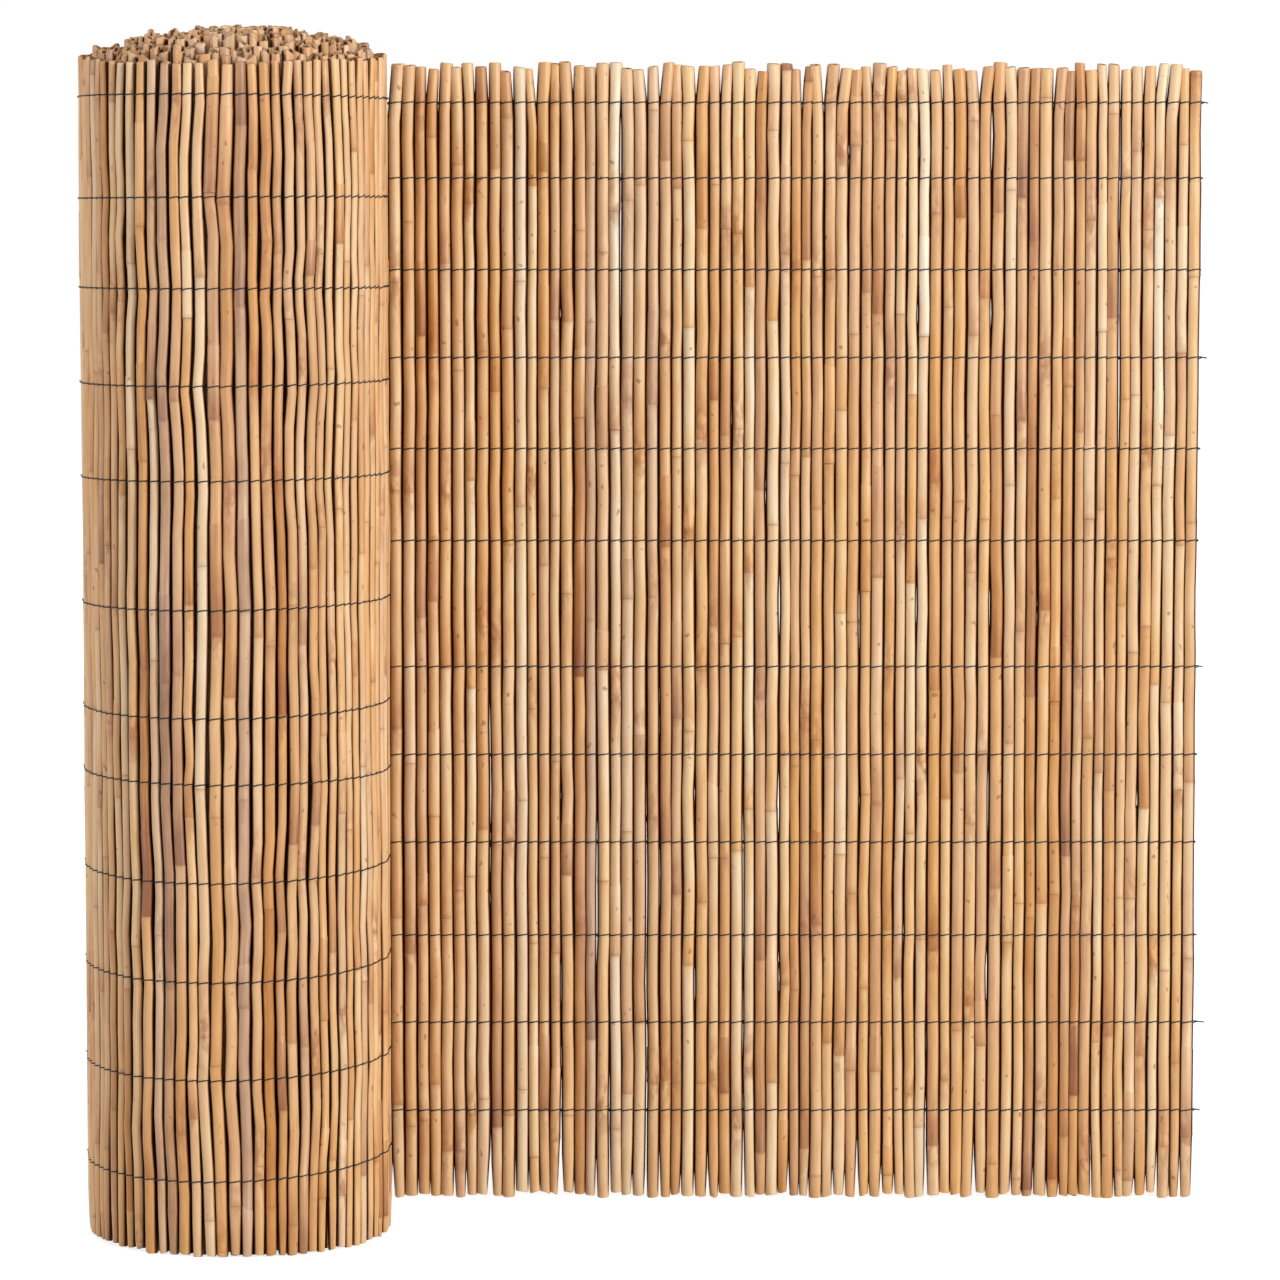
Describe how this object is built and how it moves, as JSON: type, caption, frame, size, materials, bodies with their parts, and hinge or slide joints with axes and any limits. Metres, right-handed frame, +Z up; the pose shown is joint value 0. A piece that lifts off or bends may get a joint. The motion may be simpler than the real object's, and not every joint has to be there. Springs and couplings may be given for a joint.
{
  "type": "bamboo fence panel",
  "caption": "Roll-up fence mat of slender upright canes bound with rows of twisted wire, standing on end with its outer end drawn out flat from the roll.",
  "frame": {"origin": "middle of the footprint, on the ground the mat stands on", "axes": "+X along the open stretch towards its free end, +Y from the roll's front to the open stretch, +Z up along the canes"},
  "size_m": [0.9686, 0.2718, 1.027],
  "materials": {
    "reed": "natural peeled cane, satin",
    "wire": "dark annealed wire, dull"
  },
  "bodies": {
    "root": {"rolled_mat": "reed", "open_mat": "reed", "front_wire_01": "wire", "front_wire_02": "wire", "front_wire_03": "wire", "front_wire_04": "wire", "front_wire_05": "wire", "front_wire_06": "wire", "front_wire_07": "wire", "front_wire_08": "wire", "front_wire_09": "wire", "front_wire_10": "wire", "front_wire_11": "wire", "front_wire_12": "wire", "back_wire_01": "wire", "back_wire_02": "wire", "back_wire_03": "wire", "back_wire_04": "wire", "back_wire_05": "wire", "back_wire_06": "wire", "back_wire_07": "wire", "back_wire_08": "wire", "back_wire_09": "wire", "back_wire_10": "wire", "back_wire_11": "wire", "back_wire_12": "wire"}
  },
  "joints": []
}
